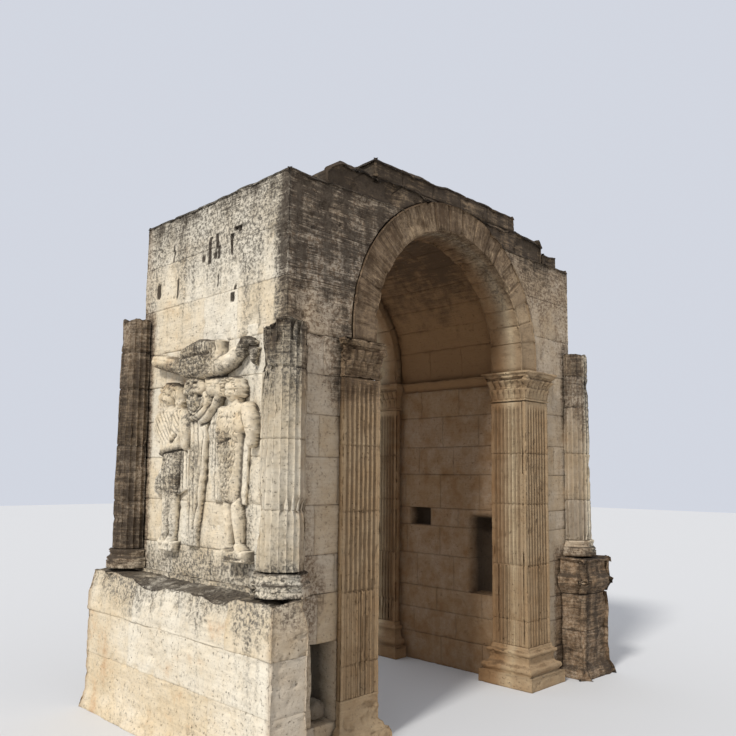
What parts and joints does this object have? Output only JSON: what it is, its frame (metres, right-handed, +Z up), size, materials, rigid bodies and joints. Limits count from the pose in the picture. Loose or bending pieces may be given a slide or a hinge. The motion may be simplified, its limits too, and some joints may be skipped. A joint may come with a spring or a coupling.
{
  "type": "ruined triumphal arch",
  "caption": "Ruined one-bay stone arch with fluted pilasters, engaged corner columns, a broken stepped top and carved captives on its side walls.",
  "frame": {"origin": "on the ground, at the middle of the masonry block's plan", "axes": "+X along the front from the left pier to the right pier, +Y through the passage from front to back, +Z up"},
  "size_m": [7, 4.17, 7],
  "materials": {
    "podium_stone": "weathered limestone",
    "column_stone": "weathered limestone",
    "relief_stone": "weathered limestone",
    "vault_stone": "weathered limestone",
    "ring_stone": "weathered limestone",
    "crown_stone": "weathered limestone",
    "pilaster_stone": "weathered limestone",
    "wall_stone": "weathered limestone"
  },
  "bodies": {
    "root": {"arch_ring_back": "ring_stone", "arch_ring_front": "ring_stone", "capital_back_left": "pilaster_stone", "capital_back_right": "pilaster_stone", "capital_front_left": "pilaster_stone", "capital_front_right": "pilaster_stone", "captive_back_left": "relief_stone", "captive_back_right": "relief_stone", "captive_front_left": "relief_stone", "captive_front_right": "relief_stone", "column_back_left": "column_stone", "column_back_right": "column_stone", "column_base_back_left": "column_stone", "column_base_back_right": "column_stone", "column_base_front_left": "column_stone", "column_base_front_right": "column_stone", "column_front_left": "column_stone", "column_front_right": "column_stone", "impost_left": "vault_stone", "impost_right": "vault_stone", "jamb_pilaster_back_left": "pilaster_stone", "jamb_pilaster_back_right": "pilaster_stone", "jamb_pilaster_front_left": "pilaster_stone", "jamb_pilaster_front_right": "pilaster_stone", "lower_crown_course": "crown_stone", "pier_left": "wall_stone", "pier_right": "wall_stone", "pilaster_back_left": "pilaster_stone", "pilaster_back_right": "pilaster_stone", "pilaster_base_back_left": "pilaster_stone", "pilaster_base_back_right": "pilaster_stone", "pilaster_base_front_left": "pilaster_stone", "pilaster_base_front_right": "pilaster_stone", "pilaster_front_left": "pilaster_stone", "pilaster_front_right": "pilaster_stone", "podium_cap_left": "podium_stone", "podium_cap_right": "podium_stone", "podium_left": "podium_stone", "podium_right": "podium_stone", "robbed_stone": "wall_stone", "trophy_left": "relief_stone", "trophy_right": "relief_stone", "upper_crown_course": "crown_stone", "upper_wall_left": "wall_stone", "upper_wall_right": "wall_stone", "vault": "vault_stone"}
  },
  "joints": []
}
